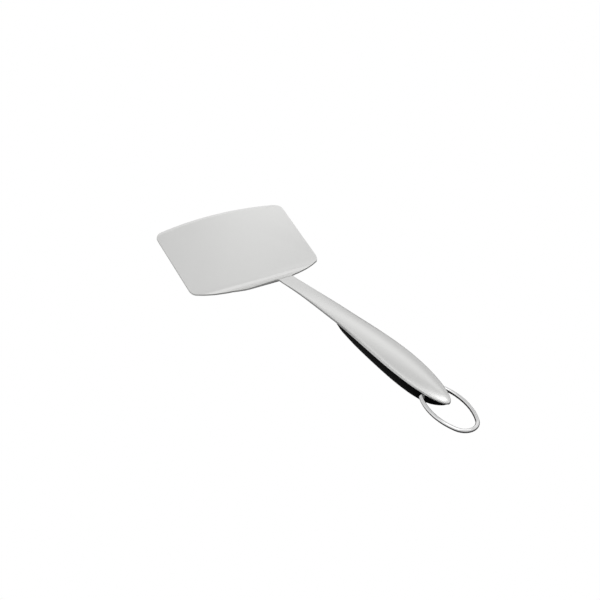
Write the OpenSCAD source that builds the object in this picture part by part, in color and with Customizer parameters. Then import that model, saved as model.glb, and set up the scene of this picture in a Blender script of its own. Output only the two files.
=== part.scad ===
// Wide turner lying as it rests on a table: on the heel of its blade and on the belly of its grip.
// The blade is at -X, the hanging loop at +X, and Z is up. The origin is under the middle of the whole tool.

/* [Blade] */
// Width of the blade
blade_w = 120; // [95:1:145]
// Length of the blade's straight sides, corner to corner
blade_len = 66.4; // [56:0.2:80]
// How far the front edge bows out past its corners
edge_bow = 6.2; // [3:0.2:9]
// Radius of the two front corners
corner_r = 8; // [4:0.5:11]
// Thickness of the sheet that blade, neck and handle top are pressed from
sheet_t = 1.2; // [0.9:0.1:1.4]
// Width of the bevel ground along the front edge
bevel_w = 2.6; // [1.5:0.1:4]
// Thickness left at the front edge
lead_t = 0.5; // [0.3:0.1:0.8]
// Slope of the blade when the tool lies on its heel
blade_tilt = 25; // [18:1:30]

/* [Throat and neck] */
// Length of the blade's rear strip that turns up with the heel
lip_len = 1.6; // [0.5:0.1:4]
// Inside radius of the bend at the heel
heel_r = 21.6; // [17:0.2:28]
// How far the rear edge bows out past its corners, towards the neck
rear_bow = 14.6; // [11:0.2:17]
// Radius of the two rear corners
rear_corner_r = 6.6; // [4:0.2:10]
// Slope of the throat, from the heel up to the neck
throat_slope = 30.8; // [27:0.2:36]
// Inside radius of the bend between throat and neck
shoulder_r = 8.2; // [5:0.2:12]
// Length over which the rear edge sweeps in to the neck
sweep_len = 28.9; // [24:0.1:34]
// Reach of that sweep to each side of the neck
sweep_w = 24.6; // [18:0.2:30]
// Fullness of the sweep: 2 is a quarter ellipse, less is straighter
sweep_power = 1.48; // [1.3:0.02:2]
// Width of the neck
neck_w = 12.8; // [10:0.2:15]
// Depth of the neck's turned-down rims
neck_rim = 1.4; // [1.3:0.1:2]

/* [Handle top] */
// Length of the handle, from the start of the neck to the tip
handle_len = 196.6; // [170:0.2:220]
// Width of the handle at its widest
handle_w = 23.7; // [19:0.1:27]
// Height of the handle's rims above the table at the crest
crest_h = 21; // [18:0.2:25]
// Radius of the handle's arch in front of the crest
front_arch_r = 1390; // [900:10:2000]
// Radius of the handle's arch behind the crest
rear_arch_r = 710; // [600:10:1000]
// Radius to which the handle's edges are rolled
rim_r = 2; // [1.6:0.1:2.4]
// Depth of the rolled rims
rim_h = 3; // [2.6:0.1:4]
// Depth of the rim at the handle's tip
tip_rim = 2; // [2:0.1:2.6]
// How far the crown rolls down at the tip
tip_roll = 1.2; // [0.6:0.1:1.2]
// Length over which it rolls down there
tip_roll_len = 7; // [3:0.5:9]
// Slope of the crown where it meets the rolled edge
crown_slope = 17; // [8:1:24]
// Slope of the crown's sides at the tip
tip_crown = 34; // [17:1:38]

/* [Grip] */
// Distance from the start of the neck to the grip's nose
grip_start = 78.3; // [66:0.1:90]
// Length of the grip's rounded nose
nose_len = 7; // [4:0.5:10]
// Step between the rolled rim and the grip's side
grip_inset = 0.25; // [0.1:0.05:0.5]
// Power of the grip's rounded underside: 2 is an ellipse, more is fuller
belly_power = 2.4; // [2:0.1:3]

/* [Grip fixings] */
// Diameter of the weld studs
stud_d = 6.4; // [5.6:0.1:7]
// Length of the weld studs
stud_len = 6.5; // [5:0.5:8]
// Thread diameter of the grip screws
screw_d = 3.5; // [3:0.1:4]
// Diameter of the screw heads
screw_head_d = 6.6; // [6:0.1:7.5]
// Height of the screw heads
screw_head_h = 2.4; // [2:0.1:3]
// Depth of the screw heads below the grip's underside
head_recess = 1.6; // [1:0.1:2.4]
// Clearance round the studs and screws
fixing_gap = 0.15; // [0.1:0.05:0.25]

/* [Hanging loop] */
// Diameter of the loop's wire
wire_d = 2.9; // [2.4:0.1:3]
// Length of the loop, from its axis to the middle of the wire at its far end
loop_len = 41.8; // [36:0.1:46]
// Width of the loop between wire centres
loop_w = 27.7; // [25:0.1:32]
// Radius of the loop's sides
loop_side_r = 40; // [36:1:60]
// Radius of the bends where the legs turn into the grip
leg_bend_r = 2.2; // [1.8:0.1:3]
// Distance from the loop's axis to the handle's tip
axis_to_tip = 17.6; // [15:0.1:22]
// Gap between the ends of the two legs, inside the bush
leg_gap = 1; // [0.5:0.1:2]
// Wall of the bush
bush_wall = 0.42; // [0.3:0.02:0.5]
// Running clearance between the legs and the bush, all round
running_gap = 0.08; // [0.05:0.01:0.1]

/* [Hidden] */
$fn = 48;

// Colours, as the photograph shows them
steel_colour = [0.82, 0.82, 0.80];
wire_colour = [0.90, 0.90, 0.91];
grip_colour = [0.04, 0.04, 0.04];
fixing_colour = [0.65, 0.66, 0.68];

// How far cuts run past what they cut
overrun = 1;

// Where a drawn skin runs into an exact piece of the same part, it starts this far under its surface
tuck = 0.02;
tongue = 2;

// Steps in the curves that are drawn as short flats
bend_steps = 7;
bow_steps = 16;
corner_steps = 6;
sweep_steps = 12;

// Radius of an edge that bows out by so much across the blade, and the angle of its rounded corners' ends
function bow_radius(bow) = (pow(blade_w / 2, 2) + pow(bow, 2)) / (2 * bow);
function corner_turn(bow, r) = asin((blade_w / 2 - r) / (bow_radius(bow) - r));
bow_r = bow_radius(edge_bow);

// Side view of the sheet, measured from the line through the blade's front corners
bend_s = blade_len - lip_len;
chord_z = sheet_t + heel_r * (1 - cos(blade_tilt)) + bend_s * sin(blade_tilt);
heel_x = bend_s * cos(blade_tilt) + heel_r * sin(blade_tilt);
heel_z = sheet_t + heel_r;
rear_chord_x = heel_x + heel_r * sin(lip_len / heel_r * 180 / PI - blade_tilt);

// The handle's arch, by the distance h from the start of the neck
crest_share = 0.381;
crest_at = crest_share * handle_len;
function arch_r(h) = h < crest_at ? front_arch_r : rear_arch_r;
function arch(h) = crest_h - pow(h - crest_at, 2) / (2 * arch_r(h));
function fall(h) = atan((h - crest_at) / arch_r(h));

// The throat's straight stretch ends where the shoulder's bend brings it level with the neck
shoulder_out_r = shoulder_r + sheet_t;
throat_top_z = arch(0) - shoulder_out_r * (cos(fall(0)) - cos(throat_slope));
throat_foot_z = heel_z - heel_r * cos(throat_slope);
throat_foot_x = heel_x + heel_r * sin(throat_slope);
throat_top_x = throat_foot_x + (throat_top_z - throat_foot_z) / tan(throat_slope);
neck_x = throat_top_x + shoulder_out_r * (sin(throat_slope) + sin(fall(0)));
tip_x = neck_x + handle_len;

// Points of an arc of radius r round c, from angle a to angle b
function arc(c, r, a, b, steps) = [for (i = [0:steps]) c + r * [cos(a + (b - a) * i / steps), sin(a + (b - a) * i / steps)]];
function mirrored(points) = [for (i = [len(points) - 1:-1:0]) [points[i][0], -points[i][1]]];

// Smooth curve through a table of [place, value] shares
function row(table, u, i = 0) = i >= len(table) - 2 || u <= table[i + 1][0] ? i : row(table, u, i + 1);
function rate(table, i) = i == 0 || i == len(table) - 1 ? 0
    : (table[i + 1][1] - table[i - 1][1]) / (table[i + 1][0] - table[i - 1][0]);
function blend(a, b, span, rate_a, rate_b, t) = a * (1 + 2 * t) * pow(1 - t, 2) + b * t * t * (3 - 2 * t)
    + span * (rate_a * t * pow(1 - t, 2) - rate_b * t * t * (1 - t));
function curve(table, u) = let (i = row(table, u), p = table[i], q = table[i + 1], span = q[0] - p[0])
    blend(p[1], q[1], span, rate(table, i), rate(table, i + 1), max(0, min(1, (u - p[0]) / span)));

// Outline of the handle: it swells from the neck to the belly, and closes as half an ellipse to the tip
belly_share = 0.715;
belly_at = belly_share * handle_len;
tail_len = handle_len - belly_at;
tail_turn = 87;
swell_shares = [[0, 0], [0.16, 0.02], [0.29, 0.13], [0.43, 0.28], [0.58, 0.42], [0.73, 0.67], [0.87, 0.895], [1, 1]];
// How far the neck's flat strip has turned into the handle's crowned channel
dish_shares = [[0, 0], [0.06, 0], [0.33, 0.5], [0.6, 1], [1, 1]];
neck_edge_r = sheet_t / 3;
inner_edge_r = sheet_t / 12;

// Places of the cross-sections along the handle: neck, nose of the grip, body and tail
neck_rings = 14;
nose_shares = [0.03, 0.14, 0.32, 0.6, 1];
body_rings = 14;
tail_rings = 20;
body_start = grip_start + nose_len;
front_places = concat(
    [for (i = [0:neck_rings - 1]) grip_start * i / neck_rings],
    [for (s = nose_shares) grip_start + nose_len * s],
    [for (i = [1:body_rings - 1]) body_start + (belly_at - body_start) * i / body_rings]);
first_tail = len(front_places);
rings = first_tail + tail_rings + 1;
function tail_angle(i) = tail_turn * (i - first_tail) / tail_rings;
function place(i, inset) = i < first_tail ? front_places[i] : belly_at + (tail_len - inset) * sin(tail_angle(i));
function swell(h) = neck_w / 2 + (handle_w - neck_w) / 2 * curve(swell_shares, h / belly_at);
function closing(h) = handle_w / 2 * sqrt(1 - pow((h - belly_at) / tail_len, 2));
function width_at(h) = h < belly_at ? swell(h) : closing(h);
function half_w(i, inset) = i < first_tail ? swell(front_places[i]) - inset : (handle_w / 2 - inset) * cos(tail_angle(i));
function dish(h) = curve(dish_shares, min(1, h / belly_at));
function roll_in(h) = let (d = max(0, 1 - (handle_len - h) / tip_roll_len)) tip_roll * (1 - sqrt(1 - pow(d, 2)));
function tail_share(h) = pow(max(0, (h - belly_at) / tail_len), 3);
function tail_drop(h) = (rim_h - tip_rim) * tail_share(h);
function crown(h) = crown_slope * dish(h) + (tip_crown - crown_slope) * tail_share(h);
function rim_depth(h) = h > 0 ? neck_rim + (rim_h - neck_rim) * dish(h) - tail_drop(h) : sheet_t - tuck;
function edge_r(h) = neck_edge_r + (rim_r - neck_edge_r) * dish(h);
function rim_z(h) = arch(h) - rim_depth(h);

// One cross-section's curve, from the foot of one rim over the crown to the foot of the other
rim_steps = 4;
crown_steps = 12;
squeeze_share = 0.85;
function half_rim(w, r, top, slope) = [for (i = [0:rim_steps]) let (a = 180 - (90 - slope) * i / rim_steps)
    [r - w + r * cos(a), top - r + r * sin(a)]];
function over_crown(w, r, top, slope) = let (a = w - r + r * sin(slope), z = top - r + r * cos(slope))
    [for (i = [1:crown_steps - 1]) let (t = 2 * i / crown_steps - 1) [a * t, z + a * tan(slope / 2) * (1 - t * t)]];
function flipped(points) = [for (i = [len(points) - 1:-1:0]) [-points[i][0], points[i][1]]];
function hood(w, r, top, slope, foot) = let (rim = half_rim(w, r, top, slope))
    concat([[-w, foot]], rim, over_crown(w, r, top, slope), flipped(rim), [[w, foot]]);
function tucked(i, inset) = i > 0 ? 0 : inset > 0 ? -6 * tuck : tuck;
function inner_r(i, h) = i > 0 ? max(edge_r(h) - sheet_t, inner_edge_r) : 2 * tuck;
function ring(i, inset) = let (h = place(i, inset), in = inset + tucked(i, inset), w = half_w(i, in),
    top = arch(h) - in - roll_in(h),
    r = min(squeeze_share * min(w, top - rim_z(h)), inset > 0 ? inner_r(i, h) : edge_r(h)))
    [for (p = hood(w, r, top, crown(h), rim_z(h))) [neck_x + h, p[0], p[1]]];

// Underside of the grip: as deep as brings its belly down to the table
depth_shares = [[0, 0.47], [0.05, 0.58], [0.17, 0.81], [0.3, 0.925], [0.47, 0.99], [0.62, 1], [0.74, 0.935],
    [0.85, 0.745], [0.92, 0.485], [0.97, 0.22], [1, 0.03]];
grip_len = handle_len - grip_start;
grip_depth = min([for (i = [neck_rings:rings - 1]) let (h = place(i, 0))
    rim_z(h) / curve(depth_shares, (h - grip_start) / grip_len)]);
function nose_share(h) = let (q = min(1, (h - grip_start) / nose_len)) sqrt(1 - pow(1 - q, 2));
function depth(h) = grip_depth * nose_share(h) * curve(depth_shares, (h - grip_start) / grip_len);
belly_steps = 20;
function power(v) = sign(v) * pow(abs(v), 2 / belly_power);
function belly(i) = let (h = place(i, 0), w = half_w(i, 0), side = max(w - grip_inset, w * squeeze_share))
    [for (k = [0:belly_steps]) let (a = 180 * k / belly_steps)
        [neck_x + h, side * power(cos(a)), rim_z(h) - depth(h) * power(sin(a))]];

function mean(points) = [for (p = points) 1] * points / len(points);
// Closed skin over rings of points. Each ring is a closed loop, and the two ends are capped. The first points
// of a ring, as many as bend says, stand over the rest as a hood
module loft(loops, bend) {
    n = len(loops[0]);
    last = len(loops) - 1;
    sides = [for (i = [0:last - 1], j = [0:n - 1]) let (k = (j + 1) % n)
        each [[i * n + j, i * n + k, (i + 1) * n + j], [i * n + k, (i + 1) * n + k, (i + 1) * n + j]]];
    middle = mean([for (j = [bend % n:n - 1]) loops[0][j]]);
    start = [for (j = [0:n - 1]) [(last + 1) * n, (j + 1) % n, j]];
    end = bend == n ? [[for (j = [0:n - 1]) last * n + j]]
        : [[for (j = [0:bend - 1]) last * n + j], [for (j = [bend:n - 1]) last * n + j],
            [for (j = [0, bend - 1, bend, n - 1]) last * n + j]];
    polyhedron(points = concat([for (l = loops) each l], [middle]), faces = concat(start, end, sides), convexity = 6);
}

function reversed(points) = [for (i = [len(points) - 1:-1:0]) points[i]];

// Everything is drawn from the line through the blade's front corners, then centred under the whole tool
axis_x = tip_x - axis_to_tip;
bush_r = wire_d / 2 + running_gap + bush_wall;
axis_z = rim_z(handle_len - axis_to_tip) - bush_r - fixing_gap;
loop_fall = asin((axis_z - wire_d / 2) / loop_len);
front_x = -(edge_bow * cos(blade_tilt) + sheet_t * sin(blade_tilt));
back_x = axis_x + loop_len * cos(loop_fall) + wire_d / 2;
module placed() {
    translate([-(front_x + back_x) / 2, 0, 0]) children();
}

// Lays a thing drawn on the flat of the blade at the blade's slope
module on_blade() {
    translate([0, 0, chord_z]) rotate([0, blade_tilt, 0]) children();
}

module side_view() {
    heel = arc([0, 0], 1, -90 - blade_tilt, -90 + throat_slope, bend_steps);
    shoulder = arc([0, 0], 1, 90 + throat_slope, 90 - fall(0), bend_steps);
    blade_dir = [cos(blade_tilt), -sin(blade_tilt)];
    blade_up = [sin(blade_tilt), cos(blade_tilt)];
    start = [0, chord_z] - (edge_bow + overrun) * blade_dir;
    heel_c = [heel_x, heel_z];
    shoulder_c = [neck_x + shoulder_out_r * sin(fall(0)), arch(0) - shoulder_out_r * cos(fall(0))];
    top = concat([start], [for (p = heel) heel_c + heel_r * p], [for (p = shoulder) shoulder_c + shoulder_out_r * p]);
    low = concat([start - sheet_t * blade_up], [for (p = heel) heel_c + (heel_r + sheet_t) * p],
        [for (p = shoulder) shoulder_c + shoulder_r * p]);
    end = [neck_x + tongue, arch(tongue)];
    polygon(concat(top, [end, end - [0, sheet_t]], reversed(low)));
}

// Outline of the blade's front, on the flat of the blade
module front_outline() {
    reach = blade_len + sweep_len + handle_len;
    turn = corner_turn(edge_bow, corner_r);
    bow_c = [bow_r - edge_bow, 0];
    corner_c = bow_c + (bow_r - corner_r) * [-cos(turn), sin(turn)];
    edge = concat(
        arc(bow_c, bow_r, 180, 180 - turn, bow_steps / 2),
        arc(corner_c, corner_r, 180 - turn, 90, corner_steps),
        [[corner_c[0], blade_w / 2 + overrun], [reach, blade_w / 2 + overrun]]);
    polygon(concat(mirrored(edge), edge));
}

// Outline of the rear corners, the bowed rear edge and its sweep in to the neck, in plan
module rear_outline() {
    sweep_y = neck_w / 2 + sweep_w;
    rear_r = bow_radius(rear_bow);
    turn = corner_turn(rear_bow, rear_corner_r);
    bow_c = [rear_chord_x + rear_bow - rear_r, 0];
    corner_c = bow_c + (rear_r - rear_corner_r) * [cos(turn), sin(turn)];
    sweep_turn = asin(sweep_y / rear_r);
    sweep_x = bow_c[0] + rear_r * cos(sweep_turn);
    sweep = [for (i = [1:sweep_steps]) let (a = 90 * i / sweep_steps)
        [sweep_x + sweep_len * (1 - pow(cos(a), 2 / sweep_power)), sweep_y - sweep_w * pow(sin(a), 2 / sweep_power)]];
    edge = concat(
        [[-blade_len, blade_w / 2 + overrun], [corner_c[0], blade_w / 2 + overrun]],
        arc(corner_c, rear_corner_r, 90, turn, corner_steps),
        arc(bow_c, rear_r, turn, sweep_turn, bow_steps / 2),
        sweep,
        [[neck_x + tongue + overrun, neck_w / 2]]);
    polygon(concat(edge, mirrored(edge)));
}

// Blade, heel and throat: the side view drawn out to the blade's width, then trimmed to the outline
module blade_sheet() {
    tall = 2 * (blade_len + crest_h);
    difference() {
        intersection() {
            rotate([90, 0, 0]) linear_extrude(height = blade_w, center = true) side_view();
            on_blade() linear_extrude(height = 4 * tall, center = true) front_outline();
            linear_extrude(height = tall, center = true) rear_outline();
        }
        on_blade() translate([bow_r - edge_bow, 0, 0]) front_bevel();
    }
}

// The ground bevel is part of a wide flat cone round the centre of the front edge's bow
module front_bevel() {
    bevel_drop = sheet_t - lead_t;
    past = overrun * bevel_drop / bevel_w;
    rotate_extrude($fn = 180)
        polygon([[bow_r - bevel_w, 0], [bow_r + overrun, -bevel_drop - past], [bow_r + overrun, overrun],
            [bow_r - bevel_w, overrun]]);
}

// Neck and handle top: a sheet skin whose rims are turned down all round, also round the tip
module handle_top() {
    outer = [for (i = [0:rings - 1]) ring(i, 0)];
    inner = [for (i = [0:rings - 1]) ring(i, sheet_t)];
    n = len(outer[0]);
    last = rings - 1;
    in0 = rings * n;
    skin = [for (i = [0:last - 1], j = [0:n - 2]) let (a = i * n + j, b = (i + 1) * n + j)
        each [[a, a + 1, b], [a + 1, b + 1, b], [in0 + a, in0 + b, in0 + a + 1], [in0 + a + 1, in0 + b, in0 + b + 1]]];
    feet = [for (i = [0:last - 1]) let (a = i * n, b = (i + 1) * n)
        each [[a, b, in0 + a], [b, in0 + b, in0 + a],
            [a + n - 1, in0 + a + n - 1, b + n - 1], [b + n - 1, in0 + a + n - 1, in0 + b + n - 1]]];
    start = [for (j = [0:n - 2]) each [[j + 1, j, in0 + j], [j + 1, in0 + j, in0 + j + 1]]];
    tip = [[for (j = [0:n - 1]) last * n + j], [for (j = [n - 1:-1:0]) in0 + last * n + j],
        [in0 + last * n, last * n, last * n + n - 1, in0 + last * n + n - 1]];
    polyhedron(points = [for (l = concat(outer, inner)) each l], faces = concat(start, tip, skin, feet), convexity = 8);
}

module turner_pressing() {
    color(steel_colour) placed() {
        blade_sheet();
        handle_top();
    }
}

// The grip's studs and screws stand square to the handle's arch
fixing_shares = [0.2, 0.62];
function fixing_at(s) = grip_start + s * grip_len;
function under_crown(h) = let (w = width_at(h) - sheet_t) w * tan(crown(h) / 2) * (1 - pow(stud_d / 2 / w, 2));
function stud_z(h) = arch(h) - sheet_t + under_crown(h);
module at_fixing(s) {
    h = fixing_at(s);
    translate([neck_x + h, 0, stud_z(h)]) rotate([0, fall(h), 0]) children();
}
function head_z(h) = rim_z(h) - depth(h) + head_recess - stud_z(h);
tapped_share = 0.85;
engaged_share = 0.7;

module under_grip() {
    color(grip_colour) placed() difference() {
        loft([for (i = [neck_rings:rings - 1]) concat(ring(i, sheet_t), belly(i))], len(ring(0, 0)));
        for (s = fixing_shares) at_fixing(s) {
            translate([0, 0, -stud_len - fixing_gap]) cylinder(d = stud_d + 2 * fixing_gap, h = stud_len + 2 * overrun);
            translate([0, 0, -crest_h]) cylinder(d = screw_d + 2 * fixing_gap, h = crest_h);
            translate([0, 0, -crest_h - screw_head_h]) cylinder(d = screw_head_d + 2 * fixing_gap,
                h = crest_h + 2 * screw_head_h + head_z(fixing_at(s)));
        }
        translate([axis_x, 0, axis_z]) rotate([90, 0, 0]) cylinder(r = bush_r, h = handle_w, center = true);
    }
}

module weld_studs() {
    color(fixing_colour) placed() for (s = fixing_shares) at_fixing(s) difference() {
        translate([0, 0, -stud_len]) cylinder(d = stud_d, h = stud_len);
        translate([0, 0, -stud_len - overrun]) cylinder(d = screw_d, h = overrun + stud_len * tapped_share);
    }
}

// Pan-head screw standing on its head, with the top of its head's rim rounded off
module grip_screw(shank) {
    head_edge = screw_head_h / 3;
    difference() {
        rotate_extrude() polygon([[0, 0], [screw_head_d / 2 - head_edge, 0], [screw_head_d / 2, head_edge],
            [screw_head_d / 2, screw_head_h], [screw_d / 2, screw_head_h], [screw_d / 2, screw_head_h + shank],
            [0, screw_head_h + shank]]);
        translate([0, 0, -overrun]) cylinder(d = screw_d, h = overrun + screw_head_h / 2, $fn = 6);
    }
}

module grip_screws() {
    color(fixing_colour) placed() for (s = fixing_shares) at_fixing(s) {
        z = head_z(fixing_at(s));
        translate([0, 0, z]) grip_screw(-z - screw_head_h - stud_len * (1 - engaged_share));
    }
}

// The bush ends flush with the grip's sides, at their narrowest across the bore
bush_at = handle_len - axis_to_tip + bush_r;
bush_half = (width_at(bush_at) - grip_inset)
    * pow(1 - pow((rim_z(bush_at) - axis_z) / depth(bush_at), belly_power), 1 / belly_power);
module loop_bush() {
    color(fixing_colour) placed() translate([axis_x, 0, axis_z]) rotate([90, 0, 0]) difference() {
        cylinder(r = bush_r, h = 2 * bush_half, center = true);
        cylinder(r = wire_d / 2 + running_gap, h = 2 * (bush_half + overrun), center = true);
    }
}

// The loop lies in its own plane: u runs from its axis to its far end, v across
widest_share = 0.42;
widest_u = widest_share * loop_len;
end_u = loop_len - widest_u;
side_v = loop_w / 2 - loop_side_r;
end_r = (pow(end_u, 2) + pow(loop_w / 2, 2) - loop_w * loop_side_r) / (2 * (end_u - loop_side_r));
leg_v = sqrt(pow(loop_side_r - leg_bend_r, 2) - pow(widest_u - leg_bend_r, 2)) + side_v;
end_turn = atan2(-side_v, loop_len - end_r - widest_u);
leg_turn = atan2(leg_v - side_v, leg_bend_r - widest_u);
pin_len = leg_v - tongue / 10;
wire_sides = 24;
function bent(c, r, a, b, steps) = [for (i = [0:steps]) let (t = a + (b - a) * i / steps)
    [c[0] + r * cos(t), c[1] + r * sin(t), t]];
half_wire = concat(
    [[0, leg_v - tongue, 180]],
    bent([leg_bend_r, leg_v], leg_bend_r, 180, leg_turn + 9, 6),
    bent([widest_u, side_v], loop_side_r, leg_turn, end_turn, 9),
    [for (p = bent([loop_len - end_r, 0], end_r, end_turn, 0, 6)) if (p[2] < end_turn) p]);
function wire_ring(p) = let (r = wire_d / 2 - tuck) [for (k = [0:wire_sides - 1]) let (a = -360 * k / wire_sides)
    [p[0] + r * cos(a) * cos(p[2]), p[1] + r * cos(a) * sin(p[2]), r * sin(a)]];
module hanging_loop() {
    far_half = [for (i = [len(half_wire) - 2:-1:0]) [half_wire[i][0], -half_wire[i][1], -half_wire[i][2]]];
    color(wire_colour) placed() translate([axis_x, 0, axis_z]) rotate([0, loop_fall, 0]) {
        loft([for (p = concat(half_wire, far_half)) wire_ring(p)], wire_sides);
        for (side = [-1, 1]) rotate([-90 * side, 0, 0]) translate([0, 0, leg_gap / 2])
            cylinder(d = wire_d, h = pin_len - leg_gap / 2);
    }
}

turner_pressing();
under_grip();
weld_studs();
grip_screws();
loop_bush();
hanging_loop();
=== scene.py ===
"""The looks of a wide stainless turner with a domed steel handle, a black grip under it and a wire loop."""
import math

import bpy
from mathutils import Matrix, Vector


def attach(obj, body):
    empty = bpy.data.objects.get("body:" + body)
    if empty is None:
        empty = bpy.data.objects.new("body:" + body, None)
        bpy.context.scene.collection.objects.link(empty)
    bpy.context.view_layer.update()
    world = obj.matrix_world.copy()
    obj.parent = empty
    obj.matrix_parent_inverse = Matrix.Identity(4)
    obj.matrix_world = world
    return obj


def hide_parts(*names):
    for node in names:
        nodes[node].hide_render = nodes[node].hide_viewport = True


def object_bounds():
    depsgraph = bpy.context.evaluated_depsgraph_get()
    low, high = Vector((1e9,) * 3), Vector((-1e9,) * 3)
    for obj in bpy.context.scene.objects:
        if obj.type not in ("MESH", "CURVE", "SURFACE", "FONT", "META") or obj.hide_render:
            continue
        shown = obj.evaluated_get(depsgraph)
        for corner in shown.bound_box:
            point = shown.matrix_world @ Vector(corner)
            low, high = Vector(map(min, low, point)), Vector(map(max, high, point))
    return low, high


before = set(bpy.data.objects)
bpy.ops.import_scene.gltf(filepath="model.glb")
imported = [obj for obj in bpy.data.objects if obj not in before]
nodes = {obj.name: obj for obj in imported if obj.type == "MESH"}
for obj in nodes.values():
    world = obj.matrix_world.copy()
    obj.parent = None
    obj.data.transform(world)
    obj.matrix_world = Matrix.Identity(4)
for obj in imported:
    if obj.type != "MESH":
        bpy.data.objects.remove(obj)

solid_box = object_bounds()
mm = 0.001

# Colours. A finish drifts between the two of its pair
WHITE = (1, 1, 1, 1)
BLACK = (0, 0, 0, 1)
PAPER = (0.86, 0.86, 0.86, 1)
STEEL_GREYS = (0.66, 0.66, 0.655, 1), (0.71, 0.71, 0.70, 1)
WIRE_GREYS = (0.66, 0.66, 0.665, 1), (0.74, 0.74, 0.735, 1)
# The grip's pair is darker than real black plastic: painted shade over its own black
GRIP_BLACKS_AND_PAINTED_SHADE = (0.0008, 0.0008, 0.0009, 1), (0.0018, 0.0018, 0.0018, 1)
SCREW_GREYS = (0.5, 0.5, 0.5, 1), (0.6, 0.6, 0.6, 1)

# How many spots of each pattern fit in a metre. Brushing is long along the turner and fine across it
BRUSHING = (40, 2600, 2600)
BLASTING = 3000.0
STEEL_CLOUDS = 22.0
WIRE_CLOUDS = 160.0
GRIP_SKIN = 2400.0
GRIP_CLOUDS = 40.0
SCREW_CLOUDS = 700.0

# Depths of the relief
BRUSHING_DEPTH = 0.0015 * mm
GRIP_SKIN_DEPTH = 0.02 * mm

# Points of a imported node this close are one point, and edges flatter than this angle are shaded smoothly
MERGE_WITHIN = 0.004 * mm
SMOOTH_BELOW = math.radians(38)

# A Mix node has five sockets between its factor and its two colours, and its third output is the colour
BEFORE_COLOURS = (None,) * 5
COLOUR_OUT = 2

FLOOR_SIZE = 12

# Painted shade on the paper, seen only in reflections: the share of its colour turned black, set for the
# photo's view. Each row has two places, in metres along or across the turner, and the share at each. The
# third row weakens the heel's painted shade to one side
PAINTED_SHADE_ACROSS = (-0.03, 0.02, 0.1, 0.6)
PAINTED_SHADE_BY_HEEL = (0.0, 0.03, 0.72, 0.0)
HEEL_PAINTED_SHADE_ACROSS = (-0.065, -0.04, 0.45, 1.0)
PAINTED_SHADE_BY_LOOP = (0.095, 0.125, 0.0, 0.88)

# The tent's light level at its foot, then what is added between two heights, from 0 at the foot to 1 overhead
SKY_LEVEL = 0.218
SKY_STEPS = (
    (0.0, 0.2, 1.0),
    (0.2, 0.4, -0.56),
    (0.4, 0.6, 0.453),
    (0.6, 0.8, -0.297),
)

# Patches of the tent: the direction of each one, the cosines of the angles from there up to which it is whole
# and at which it ends, and what it adds. They too were set for the photo's view
SKY_PATCHES = (
    ((-0.72, 0.46, 0.52), 0.99, 0.93, 0.22),
    ((-0.50, 0.25, 0.82), 0.99, 0.93, -0.12),
    ((-0.60, 0.76, 0.26), 0.99, 0.94, -0.17),
    ((-0.88, 0.46, 0.00), 0.995, 0.955, -1.1),
    ((-0.3, -0.9, 0.1), 0.97, 0.5, 0.249),
    ((-0.7, -0.6, 0.35), 0.99, 0.85, -0.20),
)

# Soft boxes: places and sizes in metres, power in watts, spread in degrees
LAMPS = (
    dict(name="box beyond the blade", place=(-0.31, 0.30, 0.40), aim=(-0.225, 0.01, 0.05),
         size=(0.16, 0.16), power=0.0030, spread=34),
    dict(name="box over the tip", place=(0.17, 0.10, 0.70), aim=(0.17, 0.10, 0),
         size=(0.40, 0.7), power=0.78, spread=180),
    dict(name="box over the loop", place=(0.24, -0.2, 0.60), aim=(0.15, 0.0, 0),
         size=(0.3, 0.3), power=0.200, spread=180),
)

# The camera: millimetres behind the blade's foremost point, aside and up, the directions of its right side
# and of its view, its lens and sensor width in millimetres, and the nearest and furthest it sees, in metres
CAMERA_PLACE = (814.616, -450.31, 430.41)
CAMERA_RIGHT = Vector((0.54802, 0.83646, 0.00344))
CAMERA_AHEAD = Vector((-0.74267, 0.48846, -0.45808))
CAMERA_LENS = 72.16
SENSOR_WIDTH = 36
CAMERA_REACH = (0.01, 50)


# Materials


class Value:
    """One socket of a node tree, with the signs of arithmetic that the finishes use on it."""

    def __init__(self, maker, socket):
        self.maker, self.socket = maker, socket

    def _math(self, operation, a, b):
        return self.maker.node("Math", {"operation": operation}, a, b)

    def __add__(self, other):
        return self._math("ADD", self, other)

    def __radd__(self, other):
        return self._math("ADD", other, self)

    def __sub__(self, other):
        return self._math("SUBTRACT", self, other)

    def __rsub__(self, other):
        return self._math("SUBTRACT", other, self)

    def __mul__(self, other):
        return self._math("MULTIPLY", self, other)

    def __rmul__(self, other):
        return self._math("MULTIPLY", other, self)

    def bigger(self, other):
        return self._math("MAXIMUM", self, other)


class Nodes:
    """A node tree, with one way to add a node and feed it."""

    def __init__(self, tree):
        self.tree = tree

    def node(self, kind, settings=None, *values, out=0, **named):
        """A new node. Its sockets are fed in their order, where None passes one over, and then by name."""
        made = self.tree.nodes.new("ShaderNode" + kind)
        for key, value in (settings or {}).items():
            setattr(made, key, value)
        for index, value in enumerate(values):
            if value is not None:
                self.feed(made.inputs[index], value)
        for key, value in named.items():
            self.feed(made.inputs[key.replace("_", " ")], value)
        return Value(self, made.outputs[out])

    def feed(self, socket, value):
        if isinstance(value, Value):
            self.tree.links.new(value.socket, socket)
        else:
            socket.default_value = value

    def ramp(self, value, low, high, start, end, interpolation="LINEAR"):
        """Runs from start to end while the value runs from low to high."""
        settings = {"interpolation_type": interpolation}
        return self.node("MapRange", settings, value, low, high, start, end)

    def end(self, surface):
        """Makes a shader the surface of this tree's output."""
        output = next(node for node in self.tree.nodes if node.type.startswith("OUTPUT"))
        self.tree.links.new(surface.socket, output.inputs["Surface"])


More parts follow.
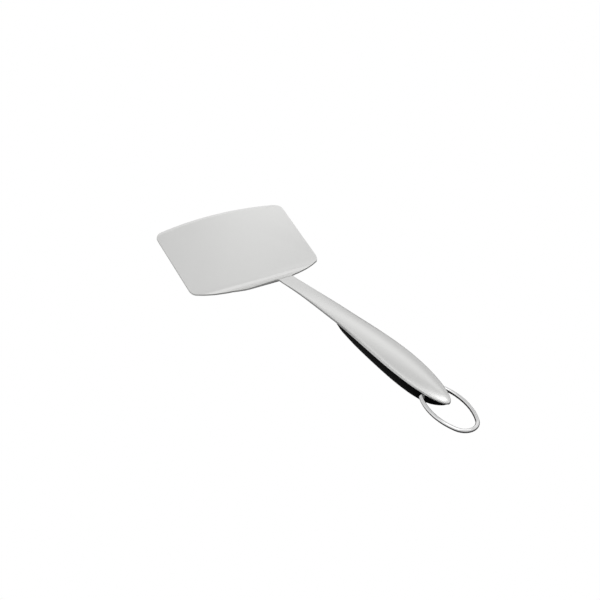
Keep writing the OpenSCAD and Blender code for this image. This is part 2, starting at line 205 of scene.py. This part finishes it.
class Finish(Nodes):
    """A node material, with its Principled shader ready to be fed."""

    def __init__(self, name):
        self.material = bpy.data.materials.new(name)
        self.material.use_nodes = True
        super().__init__(self.material.node_tree)
        self.shader = self.tree.nodes["Principled BSDF"]

    def set(self, **named):
        """Feeds the shader's own sockets by name."""
        for key, value in named.items():
            self.feed(self.shader.inputs[key.replace("_", " ")], value)
        return self.material

    def place(self):
        return self.node("TexCoord", out="Object")

    def stretched(self, scale):
        return self.node("Mapping", None, self.place(), Scale=scale)

    def noise(self, at, scale, detail=2.0, roughness=0.5):
        return self.node(
            "TexNoise", None, Vector=at, Scale=scale, Detail=detail, Roughness=roughness
        )

    def bump(self, height, depth):
        return self.node("Bump", None, Height=height, Distance=depth)

    def mix(self, factor, a, b):
        """A colour between two colours."""
        settings = {"data_type": "RGBA"}
        return self.node("Mix", settings, factor, *BEFORE_COLOURS, a, b, out=COLOUR_OUT)


def satin_steel():
    """Pressed sheet, brushed along the turner and softly blasted over."""
    steel = Finish("satin steel")
    grain = steel.noise(steel.stretched(BRUSHING), 1.0, detail=3.0, roughness=0.6)
    fine = steel.noise(steel.place(), BLASTING)
    cloud = steel.noise(steel.place(), STEEL_CLOUDS)
    return steel.set(
        Base_Color=steel.mix(cloud * 0.5 + grain * 0.5, *STEEL_GREYS),
        Metallic=1.0,
        Roughness=0.25 + grain * 0.08 + fine * 0.03 + cloud * 0.03,
        Normal=steel.bump(grain, BRUSHING_DEPTH),
    )


def drawn_wire():
    """Bright drawn wire, a little clouded."""
    wire = Finish("drawn wire")
    cloud = wire.noise(wire.place(), WIRE_CLOUDS)
    return wire.set(
        Base_Color=wire.mix(cloud, *WIRE_GREYS),
        Metallic=1.0,
        Roughness=0.07 + cloud * 0.06,
    )


def black_grip():
    """Moulded black plastic with a fine matt skin. Its colour is set darker than such plastic is, to match
    the photo: painted shade over the real black.
    """
    grip = Finish("black grip")
    skin = grip.noise(grip.place(), GRIP_SKIN)
    cloud = grip.noise(grip.place(), GRIP_CLOUDS, detail=3.0)
    return grip.set(
        Base_Color=grip.mix(cloud, *GRIP_BLACKS_AND_PAINTED_SHADE),
        Roughness=0.42 + cloud * 0.1,
        Specular_IOR_Level=0.02,
        Normal=grip.bump(skin, GRIP_SKIN_DEPTH),
    )


def screw_steel():
    """Turned heads, a little duller than the wire."""
    screw = Finish("screw steel")
    cloud = screw.noise(screw.place(), SCREW_CLOUDS)
    return screw.set(
        Base_Color=screw.mix(cloud, *SCREW_GREYS),
        Metallic=1.0,
        Roughness=0.24 + cloud * 0.14,
    )


# Pieces


def dress(piece, material):
    piece.data.materials.clear()
    piece.data.materials.append(material)


def smoothed(node, name, material, body):
    """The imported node's own shape as one joined skin, shaded smoothly over its facets."""
    for other in bpy.context.selected_objects:
        other.select_set(False)
    piece = nodes[node].copy()
    piece.data = nodes[node].data.copy()
    piece.name = name
    for key in list(piece.keys()):
        del piece[key]
    piece.parent = None
    bpy.context.scene.collection.objects.link(piece)
    piece.select_set(True)
    bpy.context.view_layer.objects.active = piece
    bpy.ops.object.mode_set(mode="EDIT")
    bpy.ops.mesh.select_all(action="SELECT")
    bpy.ops.mesh.remove_doubles(threshold=MERGE_WITHIN)
    bpy.ops.object.mode_set(mode="OBJECT")
    if piece.data.has_custom_normals:
        bpy.ops.mesh.customdata_custom_splitnormals_clear()
    bpy.ops.object.shade_smooth_by_angle(angle=SMOOTH_BELOW)
    dress(piece, material)
    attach(piece, body)
    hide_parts(node)


steel, wire, plastic, screws = satin_steel(), drawn_wire(), black_grip(), screw_steel()
smoothed("turner_pressing", "steel_turner", steel, "turner")
smoothed("under_grip", "black_under_grip", plastic, "turner")
smoothed("hanging_loop", "wire_loop", wire, "loop")
dress(nodes["grip_screws"], screws)
dress(nodes["weld_studs"], screws)
dress(nodes["loop_bush"], screws)


# Floor, light and camera


def white_floor():
    """White paper, plain white to the camera. Reflections see it lit, with painted shade darkening it in
    places to suit the photo's view.
    """
    bpy.ops.mesh.primitive_plane_add(size=FLOOR_SIZE, location=(0, 0, 0))
    floor = bpy.context.active_object
    floor.name = "floor"
    paper = Finish("white paper")
    camera = paper.node("LightPath", out="Is Camera Ray")
    through = paper.node("LightPath", out="Is Transmission Ray")
    glossy = paper.node("LightPath", out="Is Glossy Ray")
    along = paper.node("SeparateXYZ", None, paper.place(), out="X")
    side = paper.node("SeparateXYZ", None, paper.place(), out="Y")
    # Painted shade: for reflections the paper's colour goes towards black across the turner, by the heel and
    # by the loop
    across = paper.ramp(side, *PAINTED_SHADE_ACROSS)
    heel = paper.ramp(along, *PAINTED_SHADE_BY_HEEL) * paper.ramp(side, *HEEL_PAINTED_SHADE_ACROSS)
    loop = paper.ramp(along, *PAINTED_SHADE_BY_LOOP)
    left_after_painted_shade = 1 - glossy * across.bigger(heel).bigger(loop)
    paper.set(Base_Color=paper.mix(left_after_painted_shade, BLACK, PAPER), Roughness=0.9, Specular_IOR_Level=0.0)
    lit = Value(paper, paper.shader.outputs["BSDF"])
    white = paper.node("Emission", None, WHITE, 1.0)
    paper.end(paper.node("MixShader", None, camera.bigger(through), lit, white))
    floor.data.materials.append(paper.material)


def soft_sky():
    """A tent, plain white to the camera. The object sees its level change with height and in patches."""
    world = bpy.data.worlds.new("white tent")
    bpy.context.scene.world = world
    world.use_nodes = True
    tent = Nodes(world.node_tree)
    way = tent.node("TexCoord", out="Generated")
    height = tent.node("SeparateXYZ", None, way, out="Z")
    level = SKY_LEVEL
    for low, high, more in SKY_STEPS:
        level = tent.ramp(height, low, high, 0.0, more, "SMOOTHSTEP") + level
    for aim, whole, edge, more in SKY_PATCHES:
        aim = Vector(aim).normalized()
        facing = tent.node("VectorMath", {"operation": "DOT_PRODUCT"}, way, aim, out="Value")
        level = level + tent.ramp(facing, edge, whole, 0.0, more, "SMOOTHSTEP")
    camera = tent.node("LightPath", out="Is Camera Ray")
    light = tent.node("Background", None, WHITE, level.bigger(0.0))
    white = tent.node("Background", None, WHITE, 1.0)
    tent.end(tent.node("MixShader", None, camera, light, white))


def stand(thing, place, right, up, back):
    """Puts a lamp or the camera at its place, with its own axes along these three directions."""
    bpy.context.scene.collection.objects.link(thing)
    turn = Matrix((right, up, back)).transposed().to_4x4()
    thing.matrix_world = Matrix.Translation(place) @ turn


def lamp(name, place, aim, size, power, spread):
    """A soft box whose width lies square to Y, with a hood that keeps its light within the spread."""
    light = bpy.data.lights.new(name, "AREA")
    light.shape = "RECTANGLE"
    light.size, light.size_y = size
    light.energy = power
    light.spread = math.radians(spread)
    back = (Vector(place) - Vector(aim)).normalized()
    right = Vector((0, 1, 0)).cross(back).normalized()
    stand(bpy.data.objects.new(name, light), place, right, back.cross(right), back)


def photo_camera():
    """The camera keeps its distance from the blade's front, also where the part's middle moves."""
    camera = bpy.data.objects.new("camera", bpy.data.cameras.new("camera"))
    camera.data.sensor_width = SENSOR_WIDTH
    camera.data.lens = CAMERA_LENS
    camera.data.clip_start, camera.data.clip_end = CAMERA_REACH
    place = mm * Vector(CAMERA_PLACE) + Vector((solid_box[0].x, 0, 0))
    stand(camera, place, CAMERA_RIGHT, CAMERA_RIGHT.cross(CAMERA_AHEAD), -CAMERA_AHEAD)
    bpy.context.scene.camera = camera


white_floor()
soft_sky()
for box in LAMPS:
    lamp(**box)
photo_camera()
bpy.context.scene.view_settings.view_transform = "Standard"
